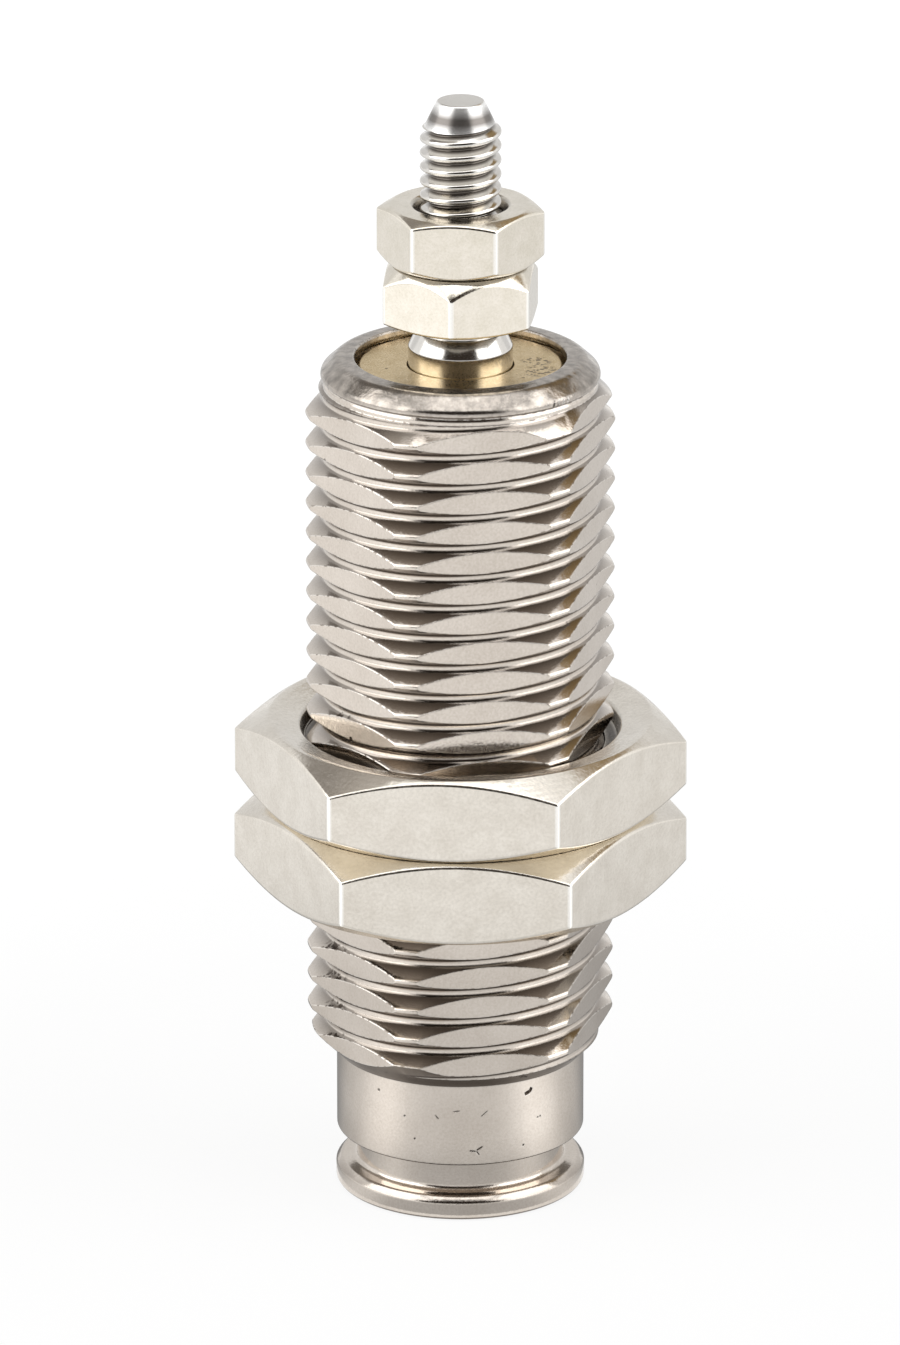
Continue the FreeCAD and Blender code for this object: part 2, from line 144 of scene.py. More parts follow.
def cutFlats(bm, across, turn, edge=0.0):
    # six planes take the flats off a turned blank, and their edges are rounded
    ways = []
    for i in range(6):
        angle = math.radians(turn + 60 * i)
        outward = Vector((math.sin(angle), -math.cos(angle), 0))
        sliceOff(bm, outward * across / 2, outward)
        ways.append(outward)
    bmesh.ops.recalc_face_normals(bm, faces=bm.faces[:])
    if edge:
        flats = [f for f in bm.faces
                 if any(f.calc_center_median().dot(way) > across / 2 - planeGap for way in ways)]
        rims = list(dict.fromkeys(e for f in flats for e in f.edges))
        bmesh.ops.bevel(bm, geom=rims, offset=edge, offset_type="OFFSET", affect="EDGES",
                        segments=fineSegments, profile=0.5, material=-1, clamp_overlap=True)


def threadCore(s, bottom, top, grow=0.0, steps=turnSteps):
    # a round bar with a right-hand thread: one rounded zigzag, spun once and lifted by a pitch
    bm = bmesh.new()
    pitch = s["pitch"]
    crest = s["crest"] + grow
    root = s["root"] + grow
    half = s["crestFlat"] / 2
    foot = half + (crest - root) * math.tan(math.radians(s["flank"]))
    first = s["phase"] + pitch * math.floor((bottom - s["phase"]) / pitch - spareTurns)
    count = math.ceil((top - bottom) / pitch) + 2 * spareTurns + 1
    zigzag = []
    for i in range(count):
        middle = first + i * pitch
        zigzag += [(root, middle - foot), (crest, middle - half),
                   (crest, middle + half), (root, middle + foot)]
    corners = [bm.verts.new((radius, 0, height)) for radius, height in zigzag]
    inside = [bm.verts.new((0, 0, zigzag[-1][1])), bm.verts.new((0, 0, zigzag[0][1]))]
    bm.faces.new(corners + inside)
    sizes = [s["rootRound"] if radius == root else s["crestRound"] for radius, height in zigzag]
    roundCorners(bm, corners, [0] + sizes[1:-1] + [0], fineSegments)
    bmesh.ops.delete(bm, geom=inside, context="VERTS")
    bmesh.ops.spin(bm, geom=bm.verts[:] + bm.edges[:], cent=(0, 0, 0), axis=(0, 0, 1),
                   dvec=(0, 0, pitch / steps), angle=2 * math.pi, steps=steps)
    bmesh.ops.remove_doubles(bm, verts=bm.verts[:], dist=seamGap)
    sliceOff(bm, Vector((0, 0, top)), Vector((0, 0, 1)))
    sliceOff(bm, Vector((0, 0, bottom)), Vector((0, 0, -1)))
    bmesh.ops.recalc_face_normals(bm, faces=bm.faces[:])
    return bm


def toObject(name, bm):
    mesh = bpy.data.meshes.new(name)
    bm.to_mesh(mesh)
    bm.free()
    piece = bpy.data.objects.new(name, mesh)
    bpy.context.scene.collection.objects.link(piece)
    return piece


def cutAway(piece, tool):
    # the tool's shape is taken out of the piece, and the tool is thrown away
    cut = piece.modifiers.new("cut", "BOOLEAN")
    cut.operation = "DIFFERENCE"
    cut.solver = "MANIFOLD"
    cut.object = tool
    shape = piece.evaluated_get(bpy.context.evaluated_depsgraph_get())
    mesh = bpy.data.meshes.new_from_object(shape)
    piece.modifiers.clear()
    piece.data = mesh
    bpy.data.objects.remove(tool)


def chaseThread(piece, s, bottom, top):
    # a sleeve with the thread's shape inside it is taken off the blank
    inner = s["root"] * sleeveInside
    outer = s["crest"] * sleeveOutside
    walls = [(inner, bottom, 0), (outer, bottom, 0), (outer, top, 0), (inner, top, 0)]
    sleeve = toObject("sleeve", turnSolid(walls))
    cutAway(sleeve, toObject("threadCore", threadCore(s, bottom - runOut, top + runOut)))
    cutAway(piece, sleeve)


def settle(piece, node, body, material, sharpAngle=24.0):
    # scaled to metres, shaded, painted, and put in the place of its node
    mesh = piece.data
    mesh.transform(Matrix.Scale(mm, 4))
    mesh.materials.clear()
    mesh.materials.append(material)
    mesh.shade_smooth()
    mesh.set_sharp_from_angle(angle=math.radians(sharpAngle))
    even = piece.modifiers.new("even normals", "WEIGHTED_NORMAL")
    even.keep_sharp = True
    even.weight = normalWeight
    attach(piece, body)
    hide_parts(node)
    print(node, "made with", len(mesh.polygons), "faces")


# Materials: values that most finishes share
finishSet = {
    "cloudRange": (0.35, 0.65),  # noise that counts as none and as full
    "grainRange": (0.3, 0.7),
    "ringScale": 0.314,  # a wave texture of this scale has its rings 1 mm apart
    "pitSharpness": 25.0,
    "crowd": (1.7, 0.9, 1.6),  # crowded pits: spacing in pit widths, share of cells, size in pit widths
    "crowdTilt": (0.1, 0.4),  # slant at which crowded pits begin, and at which all are there
    "spotCore": 0.65,  # part of a worn spot's reach that is crowded
    "threadShadeCore": 0.2,  # part of the painted thread shade's reach that is full of it
    "threadShadeFade": 0.2,  # change of slant over which it fades
    "cornerBorder": (0.08, 0.03),  # mm inside the corner's radius
}


def pitMask(tree, inMm, spacing, share, size):
    # one cell in a few has a pit, and the cell's own colour says how wide it is
    cells = addNode(tree, "ShaderNodeTexVoronoi", {"Scale": 1 / spacing}, {"Vector": inMm})
    pick = addNode(tree, "ShaderNodeSeparateColor", None, {"Color": cells.outputs["Color"]})
    wide = addNode(tree, "ShaderNodeMapRange",
                   {"From Min": 1 - share, "From Max": 1.0, "To Max": size / spacing},
                   {"Value": pick.outputs[0]})
    within = addNode(tree, "ShaderNodeMath", {"operation": "SUBTRACT"},
                     {0: wide.outputs[0], 1: cells.outputs["Distance"]})
    return addNode(tree, "ShaderNodeMath",
                   {"operation": "MULTIPLY", "use_clamp": True, 1: finishSet["pitSharpness"]},
                   {0: within.outputs[0]}).outputs[0]


def makeSurface(name, s):
    # every finish: two tints in soft clouds and a grain, then what its list names
    material = bpy.data.materials.new(name)
    material.use_nodes = True
    tree = material.node_tree
    shader = tree.nodes["Principled BSDF"]
    shader.inputs["Metallic"].default_value = s["metallic"]
    place = addNode(tree, "ShaderNodeTexCoord").outputs["Object"]
    inMm = addNode(tree, "ShaderNodeMapping", {"Scale": (1 / mm,) * 3}, {"Vector": place}).outputs[0]
    flatPlace = addNode(tree, "ShaderNodeMapping", {"Scale": (1, 1, 0)}, {"Vector": inMm}).outputs[0]
    radius = addNode(tree, "ShaderNodeVectorMath", {"operation": "LENGTH"},
                     {0: flatPlace}).outputs["Value"]
    high = addNode(tree, "ShaderNodeSeparateXYZ", None, {0: inMm}).outputs["Z"]
    facing = addNode(tree, "ShaderNodeNewGeometry").outputs["Normal"]
    facingUp = addNode(tree, "ShaderNodeSeparateXYZ", None, {0: facing}).outputs["Z"]
    slant = addNode(tree, "ShaderNodeMath", {"operation": "ABSOLUTE"}, {0: facingUp}).outputs[0]
    cloud = addNode(tree, "ShaderNodeTexNoise", {"Scale": 1 / s["cloud"], "Detail": 3.0},
                    {"Vector": inMm}).outputs[0]
    none, full = finishSet["cloudRange"]
    cloudPart = addNode(tree, "ShaderNodeMapRange", {"From Min": none, "From Max": full},
                        {"Value": cloud}).outputs[0]
    grain = addNode(tree, "ShaderNodeTexNoise", {"Scale": 1 / s["grain"], "Detail": 2.0},
                    {"Vector": inMm}).outputs[0]
    none, full = finishSet["grainRange"]
    grainPart = addNode(tree, "ShaderNodeMapRange", {"From Min": none, "From Max": full},
                        {"Value": grain}).outputs[0]
    tint = addNode(tree, "ShaderNodeMix", {0: 0.5}, {2: cloudPart, 3: grainPart}).outputs[0]
    color = addNode(tree, "ShaderNodeMix",
                    {"data_type": "RGBA", 6: srgb(s["color"]), 7: srgb(s["shade"])}, {0: tint}).outputs[2]
    smooth, matt = s["rough"]
    rough = addNode(tree, "ShaderNodeMix", {2: smooth, 3: matt}, {0: grainPart}).outputs[0]
    height = addNode(tree, "ShaderNodeMath", {"operation": "MULTIPLY", 1: s["grainHeight"]},
                     {0: grain}).outputs[0]
    bump = addNode(tree, "ShaderNodeBump", {"Strength": 1.0, "Distance": mm})
    if "rings" in s:
        # tool rings, this many mm apart
        ring = addNode(tree, "ShaderNodeTexWave",
                       {"wave_type": "RINGS", "rings_direction": "Z", "Distortion": 1.5, "Detail": 2.0,
                        "Scale": finishSet["ringScale"] / s["rings"]}, {"Vector": inMm})
        height = addNode(tree, "ShaderNodeMath", {"operation": "MULTIPLY_ADD", 1: s["ringHeight"]},
                         {0: ring.outputs["Fac"], 2: height}).outputs[0]
    if "lip" in s:
        # between these heights the metal begins to be rolled over: hazy, rough and mottled, and its
        # colour is darkened there as painted shade
        low, top = s["lip"]
        onLip = addNode(tree, "ShaderNodeMapRange", {"From Min": low, "From Max": top},
                        {"Value": high}).outputs[0]
        mottle = addNode(tree, "ShaderNodeTexNoise", {"Scale": 1 / s["lipMottle"], "Detail": 4.0},
                         {"Vector": inMm}).outputs[0]
        hazeAndShade = addNode(tree, "ShaderNodeMath", {"operation": "MULTIPLY"},
                       {0: onLip, 1: mottle}).outputs[0]
        color = addNode(tree, "ShaderNodeMix", {"data_type": "RGBA", 7: srgb(s["lipHazeShadeColor"])},
                        {0: hazeAndShade, 6: color}).outputs[2]
        rough = addNode(tree, "ShaderNodeMix", {3: s["lipRough"]}, {0: hazeAndShade, 2: rough}).outputs[0]
        height = addNode(tree, "ShaderNodeMath", {"operation": "MULTIPLY_ADD", 1: s["lipHeight"]},
                         {0: hazeAndShade, 2: height}).outputs[0]
    if "edge" in s:
        # sharp edges get a painted highlight, chipped here and there, and the softened normal rounds them
        # in the shading
        softened = addNode(tree, "ShaderNodeBevel", {"samples": 4, "Radius": s["edge"] * mm}).outputs[0]
        agree = addNode(tree, "ShaderNodeVectorMath", {"operation": "DOT_PRODUCT"},
                        {0: softened, 1: facing}).outputs["Value"]
        none, full = s["edgeAgree"]
        edgeGlint = addNode(tree, "ShaderNodeMapRange",
                         {"From Min": none, "From Max": full, "To Max": s["edgeGlintPart"]},
                         {"Value": agree}).outputs[0]
        flake = addNode(tree, "ShaderNodeTexNoise", {"Scale": 1 / s["chip"], "Detail": 2.0},
                        {"Vector": inMm}).outputs[0]
        none, full = s["chipRange"]
        chipped = addNode(tree, "ShaderNodeMapRange", {"From Min": none, "From Max": full},
                          {"Value": flake}).outputs[0]
        glintAndChips = addNode(tree, "ShaderNodeMix",
                         {"data_type": "RGBA", 6: srgb(s["edgeGlintColor"]), 7: srgb(s["pitColor"])},
                         {0: chipped}).outputs[2]
        color = addNode(tree, "ShaderNodeMix", {"data_type": "RGBA"},
                        {0: edgeGlint, 6: color, 7: glintAndChips}).outputs[2]
        tree.links.new(softened, bump.inputs["Normal"])
    if "shadeBelow" in s:
        # faces that look down take the listed colour: painted shade under things, and on the panel nuts a
        # pale warm tint that stands in for reflected light
        slope, reach = s["shadeBelowSlope"]
        below = addNode(tree, "ShaderNodeMath", {"operation": "COMPARE", 1: slope, 2: reach},
                        {0: facingUp}).outputs[0]
        shadedBelow = addNode(tree, "ShaderNodeMath", {"operation": "MULTIPLY", 1: s["shadeBelowPart"]},
                         {0: below}).outputs[0]
        color = addNode(tree, "ShaderNodeMix", {"data_type": "RGBA", 7: srgb(s["shadeBelow"])},
                        {0: shadedBelow, 6: color}).outputs[2]
    if "end" in s:
        # above this height the end was turned to a bright, half matt cone, parted off and left rough
        onEnd = addNode(tree, "ShaderNodeMath", {"operation": "GREATER_THAN", 1: s["end"]},
                        {0: high}).outputs[0]
        steep = addNode(tree, "ShaderNodeMath", {"operation": "LESS_THAN", 1: s["endSlope"]},
                        {0: facingUp}).outputs[0]
        onCone = addNode(tree, "ShaderNodeMath", {"operation": "MULTIPLY"},
                         {0: onEnd, 1: steep}).outputs[0]
        color = addNode(tree, "ShaderNodeMix", {"data_type": "RGBA", 7: srgb(s["endColor"])},
                        {0: onCone, 6: color}).outputs[2]
        mirror = addNode(tree, "ShaderNodeMix", {2: s["metallic"], 3: s["endMetallic"]},
                         {0: onCone}).outputs[0]
        tree.links.new(mirror, shader.inputs["Metallic"])
        rough = addNode(tree, "ShaderNodeMix", {3: s["endRough"]}, {0: onEnd, 2: rough}).outputs[0]
    if "threadShadeRadius" in s:
        # painted shade, with some oil, darkens the thread near its root and on its flanks, but not what
        # was milled flat
        reach = s["threadShadeReach"]
        slope = s["threadShadeSlant"]
        fromRoot = addNode(tree, "ShaderNodeMath", {"operation": "SUBTRACT", 1: s["threadShadeRadius"]},
                           {0: radius}).outputs[0]
        apart = addNode(tree, "ShaderNodeMath", {"operation": "ABSOLUTE"}, {0: fromRoot}).outputs[0]
        inRoot = addNode(tree, "ShaderNodeMapRange",
                         {"From Min": reach, "From Max": reach * finishSet["threadShadeCore"],
                          "To Max": s["threadShadePart"]}, {"Value": apart}).outputs[0]
        flank = addNode(tree, "ShaderNodeMapRange",
                        {"From Min": slope - finishSet["threadShadeFade"], "From Max": slope},
                        {"Value": slant}).outputs[0]
        shadeInThread = addNode(tree, "ShaderNodeMath", {"operation": "MULTIPLY"},
                           {0: inRoot, 1: flank}).outputs[0]
        if "threadShadeTop" in s:
            lower = addNode(tree, "ShaderNodeMath", {"operation": "LESS_THAN", 1: s["threadShadeTop"]},
                            {0: high}).outputs[0]
            shadeInThread = addNode(tree, "ShaderNodeMath", {"operation": "MULTIPLY"},
                               {0: shadeInThread, 1: lower}).outputs[0]
        color = addNode(tree, "ShaderNodeMix", {"data_type": "RGBA", 7: srgb(s["threadShadeColor"])},
                        {0: shadeInThread, 6: color}).outputs[2]
    if "scars" in s:
        # whatever is cut below the skin between these radii and heights takes the dark pit colour
        for inner, outer, low, top in s["scars"]:
            sunk = addNode(tree, "ShaderNodeMath",
                           {"operation": "COMPARE", 1: (inner + outer) / 2, 2: (outer - inner) / 2},
                           {0: radius}).outputs[0]
            level = addNode(tree, "ShaderNodeMath",
                            {"operation": "COMPARE", 1: (low + top) / 2, 2: (top - low) / 2},
                            {0: high}).outputs[0]
            scar = addNode(tree, "ShaderNodeMath", {"operation": "MULTIPLY"},
                           {0: sunk, 1: level}).outputs[0]
            color = addNode(tree, "ShaderNodeMix", {"data_type": "RGBA", 7: srgb(s["pitColor"])},
                            {0: scar, 6: color}).outputs[2]
    if "pitSpacing" in s:
        pit = pitMask(tree, inMm, s["pitSpacing"], s["pitShare"], s["pit"])
        if "wornSpots" in s:
            # a crowd of pits round each worn spot, but not on what was milled flat
            spacing, share, size = finishSet["crowd"]
            crowd = pitMask(tree, inMm, s["pit"] * spacing, share, s["pit"] * size)
            none, full = finishSet["crowdTilt"]
            tilted = addNode(tree, "ShaderNodeMapRange", {"From Min": none, "From Max": full},
                             {"Value": slant}).outputs[0]
        for x, y, z, reach in s.get("wornSpots", []):
            apart = addNode(tree, "ShaderNodeVectorMath", {"operation": "DISTANCE", 1: (x, y, z)},
                            {0: inMm}).outputs["Value"]
            near = addNode(tree, "ShaderNodeMapRange",
                           {"From Min": reach, "From Max": reach * finishSet["spotCore"]},
                           {"Value": apart}).outputs[0]
            part = addNode(tree, "ShaderNodeMath", {"operation": "MULTIPLY"},
                           {0: crowd, 1: near}).outputs[0]
            part = addNode(tree, "ShaderNodeMath", {"operation": "MULTIPLY"},
                           {0: part, 1: tilted}).outputs[0]
            pit = addNode(tree, "ShaderNodeMath", {"operation": "MAXIMUM"}, {0: pit, 1: part}).outputs[0]
        color = addNode(tree, "ShaderNodeMix", {"data_type": "RGBA", 7: srgb(s["pitColor"])},
                        {0: pit, 6: color}).outputs[2]
        height = addNode(tree, "ShaderNodeMath", {"operation": "MULTIPLY_ADD", 1: -s["pitDepth"]},
                         {0: pit, 2: height}).outputs[0]
    if "corner" in s:
        # a painted highlight where the hexagon's corners are
        start, full = finishSet["cornerBorder"]
        cornerGlint = addNode(tree, "ShaderNodeMapRange",
                       {"From Min": s["corner"] - start, "From Max": s["corner"] - full},
                       {"Value": radius}).outputs[0]
        color = addNode(tree, "ShaderNodeMix", {"data_type": "RGBA", 7: srgb(s["cornerGlintColor"])},
                        {0: cornerGlint, 6: color}).outputs[2]
    tree.links.new(height, bump.inputs["Height"])
    tree.links.new(color, shader.inputs["Base Color"])
    tree.links.new(rough, shader.inputs["Roughness"])
    tree.links.new(bump.outputs[0], shader.inputs["Normal"])
    return material


# Bright nickel over turned brass: a warm grey mirror with a fine tooth, chipped edges with a painted
# highlight, open pits, painted shade under it, painted shade with some oil in the thread, and a rolled
# lip darkened by painted shade
bodyNickel = makeSurface("turned brass, bright nickel plate", {
    "metallic": 1.0, "color": "#e2d9cf", "shade": "#d0c6bb", "cloud": 3.0, "rough": (0.08, 0.17),
    "grain": 0.12, "grainHeight": 0.003,
    "lip": (40.9, 41.3), "lipMottle": 0.5, "lipHazeShadeColor": "#4c4945", "lipRough": 0.26, "lipHeight": 0.022,
    "edge": 0.11, "edgeAgree": (0.995, 0.94), "edgeGlintPart": 0.8, "edgeGlintColor": "#f6f1ea",
    "chip": 0.3, "chipRange": (0.54, 0.6),
    "shadeBelow": "#4a3f36", "shadeBelowSlope": (-0.7, 0.25), "shadeBelowPart": 0.75,
    "threadShadeRadius": 6.45, "threadShadeReach": 0.8, "threadShadePart": 0.65, "threadShadeSlant": 0.5, "threadShadeTop": 40.75,
    "threadShadeColor": "#4a3f36",
    "scars": [(5.8, 5.99, 2.87, 6.9)],
    "pitSpacing": 1.3, "pitShare": 0.22, "pit": 0.16, "pitDepth": 0.03, "pitColor": "#4f453d",
    "wornSpots": [(-6.4, -3.3, 13.0, 1.2), (-6.4, -3.3, 11.5, 1.2), (-6.4, -3.3, 10.0, 1.1),
                  (-6.3, -3.3, 8.6, 0.9), (-5.64, -3.69, 25.2, 0.6)],
})
# Satin nickel over milled brass: pale, even and a little cloudy, with a painted highlight along the
# corners, painted shade in the bore and a pale painted tint under it
nutNickel = makeSurface("milled brass, satin nickel plate", {
    "metallic": 1.0, "color": "#ede7dd", "shade": "#ddd6cb", "cloud": 1.2, "rough": (0.16, 0.26),
    "grain": 0.16, "grainHeight": 0.005, "rings": 0.3, "ringHeight": 0.0012,
    "shadeBelow": "#dccfb6", "shadeBelowSlope": (-0.8, 0.15), "shadeBelowPart": 0.8,
    "threadShadeRadius": 7.3, "threadShadeReach": 0.55, "threadShadePart": 0.95, "threadShadeSlant": 0.0,
    "threadShadeColor": "#3d352d",
    "corner": 10.955, "cornerGlintColor": "#fffdf8",
})
# Satin nickel over steel: paler still, tumbled so that the edges are soft, with a painted highlight on
# the corners and painted shade in the bore and under it
rodNutNickel = makeSurface("steel, satin nickel plate", {
    "metallic": 1.0, "color": "#f2ebdf", "shade": "#e2dbcc", "cloud": 0.9, "rough": (0.12, 0.22),
    "grain": 0.12, "grainHeight": 0.003,
    "shadeBelow": "#4a4036", "shadeBelowSlope": (-0.85, 0.25), "shadeBelowPart": 0.6,
    "threadShadeRadius": 2.06, "threadShadeReach": 0.36, "threadShadePart": 0.95, "threadShadeSlant": 0.0,
    "threadShadeColor": "#3d352d",
    "corner": 4.03, "cornerGlintColor": "#fffdf8",
})
# Bare brass faced on the lathe: pale gold with fine rings and a dull patina
collarBrass = makeSurface("bare brass, faced on the lathe", {
    "metallic": 1.0, "color": "#dfc99f", "shade": "#c9b07f", "cloud": 0.8, "rough": (0.24, 0.36),
    "grain": 0.1, "grainHeight": 0.005, "rings": 0.14, "ringHeight": 0.002,
    "pitSpacing": 0.5, "pitShare": 0.25, "pit": 0.1, "pitDepth": 0.02, "pitColor": "#7d6a48",
    "wornSpots": [(3.8, -1.2, 41.6, 1.0), (3.6, 0.3, 41.6, 0.8)],
})
# Sintered bronze: brown and matt, with open pores that hold oil
bushBronze = makeSurface("sintered bronze, oil filled", {
    "metallic": 1.0, "color": "#8a6f4c", "shade": "#6d5536", "cloud": 0.6, "rough": (0.42, 0.58),
    "grain": 0.06, "grainHeight": 0.006,
    "pitSpacing": 0.14, "pitShare": 0.5, "pit": 0.05, "pitDepth": 0.01, "pitColor": "#2e2416",
})
# Stainless bar, ground and polished: a clear cool mirror with faint grinding marks and painted shade in
# its thread's root
rodSteel = makeSurface("stainless steel, ground and polished", {
    "metallic": 1.0, "color": "#e4e1dc", "shade": "#d9d5cf", "cloud": 1.5, "rough": (0.1, 0.18),
    "grain": 0.08, "grainHeight": 0.0012,
    "end": 53.44, "endSlope": 0.9, "endRough": 0.25, "endColor": "#fdfcfa", "endMetallic": 0.74,
    "threadShadeRadius": 1.45, "threadShadeReach": 0.26, "threadShadePart": 0.85, "threadShadeSlant": 0.0,
    "threadShadeColor": "#4a3f35",
})
# Drawn spring wire: grey, with a dull skin from the die
springSteel = makeSurface("stainless steel, drawn spring wire", {
    "metallic": 1.0, "color": "#b3b1ae", "shade": "#97948f", "cloud": 0.7, "rough": (0.26, 0.4),
    "grain": 0.07, "grainHeight": 0.002,
})
# Bare turned brass: yellow, with tool rings
pistonBrass = makeSurface("bare brass, turned", {
    "metallic": 1.0, "color": "#d4b676", "shade": "#bf9f5f", "cloud": 1.4, "rough": (0.22, 0.34),
    "grain": 0.1, "grainHeight": 0.002, "rings": 0.18, "ringHeight": 0.002,
})
# Blackened spring steel: near black with a slight oily gloss
clipSteel = makeSurface("spring steel, blackened", {
    "metallic": 1.0, "color": "#46474a", "shade": "#333437", "cloud": 0.5, "rough": (0.32, 0.46),
    "grain": 0.08, "grainHeight": 0.003,
})
# Moulded nitrile: black and matt with a fine mould texture
sealRubber = makeSurface("nitrile rubber, moulded", {
    "metallic": 0.0, "color": "#191919", "shade": "#121212", "cloud": 0.7, "rough": (0.5, 0.66),
    "grain": 0.09, "grainHeight": 0.005,
})
# Cast urethane: amber, smooth and a little waxy
bumperRubber = makeSurface("urethane, cast", {
    "metallic": 0.0, "color": "#8a5a22", "shade": "#764a18", "cloud": 0.8, "rough": (0.3, 0.42),
    "grain": 0.12, "grainHeight": 0.003,
})
print("finishes mixed")

# Cylinder body: hexagon bar, turned, threaded and bored, with its lip rolled over the collar
bodySet = {
    "flats": 13.4,
    "turn": 9.5,
    "pitch": 1.5,
    "crest": 7.43,
    "root": 6.6,
    "flank": 30.0,
    "crestFlat": 0.2,
    "crestRound": 0.08,
    "rootRound": 0.14,
    "phase": 31.15,  # height of a crest on the +X side
    "threadBottom": 7.0,
    "threadTop": 40.6,
    "section": [  # radius, height, edge rounding
        (2.55, 0.0, 0.0),
        (6.05, 0.0, 0.28),
        (6.05, 0.92, 0.08),
        (5.78, 1.2, 0.08),
        (5.0, 1.2, 0.25),
        (5.0, 2.85, 0.15),
        (6.0, 2.85, 0.12),
        (6.0, 6.95, 0.05),
        (7.48, 8.4, 0.0),
        (7.48, 39.72, 0.0),
        (6.58, 40.62, 0.0),
        (6.58, 40.8, 0.03),
        (6.5, 40.94, 0.03),
        (6.68, 41.06, 0.05),
        (6.68, 41.3, 0.14),
        (5.95, 41.96, 0.2),
        (5.06, 42.02, 0.1),
        (5.06, 41.62, 0.0),
        (5.58, 41.62, 0.0),
        (5.58, 39.47, 0.0),
        (5.0, 39.47, 0.0),
        (5.0, 6.0, 0.0),
        (1.0, 6.0, 0.0),
        (1.0, 4.6, 0.0),
        (2.1, 4.6, 0.0),
        (2.1, 0.45, 0.0),
    ],
    "port": {"pitch": 0.8, "crest": 2.5, "root": 2.0, "flank": 30.0, "crestFlat": 0.1,
             "crestRound": 0.03, "rootRound": 0.05, "phase": 0.3},
    "portSpan": (-0.5, 4.0),
    "portSteps": 48,
    "nicks": [  # radius there, turn, height, length, slope, width, depth
        (6.0, 32.6, 6.28, 0.34, 20, 0.2, 0.1),
        (6.0, 34.4, 6.4, 0.26, 60, 0.18, 0.1),
        (6.0, 5.7, 3.62, 0.38, -6, 0.07, 0.05),
        (6.0, 8.9, 3.74, 0.44, 32, 0.07, 0.05),
        (6.0, 8.1, 3.5, 0.3, -55, 0.07, 0.05),
        (6.0, -10.9, 5.36, 0.34, -50, 0.045, 0.04),
        (6.0, -1.8, 5.69, 0.42, 6, 0.045, 0.04),
        (6.0, 11.1, 5.53, 0.6, 40, 0.045, 0.04),
        (6.0, -26.7, 5.21, 0.1, 45, 0.08, 0.05),
        (6.0, 40.0, 4.9, 0.1, 45, 0.08, 0.05),
        (6.0, 30.4, 3.62, 0.12, 45, 0.08, 0.05),
        (6.0, -21.5, 4.12, 0.09, 45, 0.07, 0.05),
        (6.66, 39.0, 41.4, 0.5, 60, 0.06, 0.06),
        (6.66, 42.0, 41.3, 0.62, 62, 0.06, 0.07),
        (6.66, 44.6, 41.35, 0.5, 64, 0.06, 0.06),
        (6.66, 47.2, 41.25, 0.6, 66, 0.06, 0.07),
        (6.66, 50.0, 41.3, 0.4, 68, 0.06, 0.05),
    ],
}


def makeNick(radius, turn, height, length, slope, width, depth):
    # a small four-sided chisel, set against the wall with its edge inwards
    bm = bmesh.new()
    bmesh.ops.create_cone(bm, cap_ends=True, segments=4, radius1=0, radius2=math.sqrt(0.5), depth=1)
    bmesh.ops.rotate(bm, verts=bm.verts[:], cent=(0, 0, 0), matrix=Matrix.Rotation(math.pi / 4, 3, "Z"))
    bmesh.ops.rotate(bm, verts=bm.verts[:], cent=(0, 0, 0), matrix=Matrix.Rotation(math.pi / 2, 3, "X"))
    bmesh.ops.scale(bm, verts=bm.verts[:], vec=(length * 2, depth * 2, width * 2))
    bmesh.ops.rotate(bm, verts=bm.verts[:], cent=(0, 0, 0),
                     matrix=Matrix.Rotation(-math.radians(slope), 3, "Y"))
    bmesh.ops.translate(bm, verts=bm.verts[:], vec=(0, -radius, height))
    bmesh.ops.rotate(bm, verts=bm.verts[:], cent=(0, 0, 0),
                     matrix=Matrix.Rotation(math.radians(turn), 3, "Z"))
    bmesh.ops.recalc_face_normals(bm, faces=bm.faces[:])
    return toObject("chisel", bm)


def makeCylinderBody(s):
    blank = turnSolid(s["section"])
    cutFlats(blank, s["flats"], s["turn"])
    piece = toObject("cylinderBody", blank)
    chaseThread(piece, s, s["threadBottom"], s["threadTop"])
    low, high = s["portSpan"]
    cutAway(piece, toObject("portTap", threadCore(s["port"], low, high, steps=s["portSteps"])))
    for nick in s["nicks"]:
        cutAway(piece, makeNick(*nick))
    settle(piece, "cylinder_body", "barrel", bodyNickel)


makeCylinderBody(bodySet)

# Panel nuts and rod nuts: chamfered hexagons, tapped through
panelNutSet = {
    "flats": 19.0,
    "height": 4.15,
    "face": 9.25,
    "corner": 11.0,
    # mouth of the bore: radius, depth, edge rounding
    "mouth": [(9.05, 0.0, 0.15), (7.72, 0.34, 0.12), (7.56, 1.0, 0.05), (6.86, 1.3, 0.05)],
    "faceRound": 0.06,
    "edge": 0.12,
    "clearance": 0.1,
    "pieces": [  # name, node and body, bottom, turn, slope of the chamfer above and below
        ("panelNutRear", "panel_nut_rear", 15.5, -1.4, 30, 30),
        ("panelNutFront", "panel_nut_front", 19.67, -5.0, 30, 30),
    ],
}
rodNutSet = {
    "flats": 7.0,
    "height": 2.85,
    "face": 3.28,
    "corner": 4.06,
    "mouth": [(2.36, 0.0, 0.05), (2.24, 0.1, 0.05), (2.1, 0.6, 0.03), (1.7, 0.8, 0.03)],
    "faceRound": 0.06,
    "edge": 0.12,
    "clearance": 0.05,
    "pieces": [
        ("rodNutInner", "rod_nut_inner", 43.85, 23.4, 46, 16),
        ("rodNutOuter", "rod_nut_outer", 46.72, -5.2, 21, 30),
    ],
}
rodThread = {
    "pitch": 0.7,
    "crest": 1.94,
    "root": 1.5,
    "flank": 26.0,
    "crestFlat": 0.19,
    "crestRound": 0.09,
    "rootRound": 0.03,
    "phase": 51.78,
    "threadBottom": 43.45,
    "threadTop": 53.7,
}


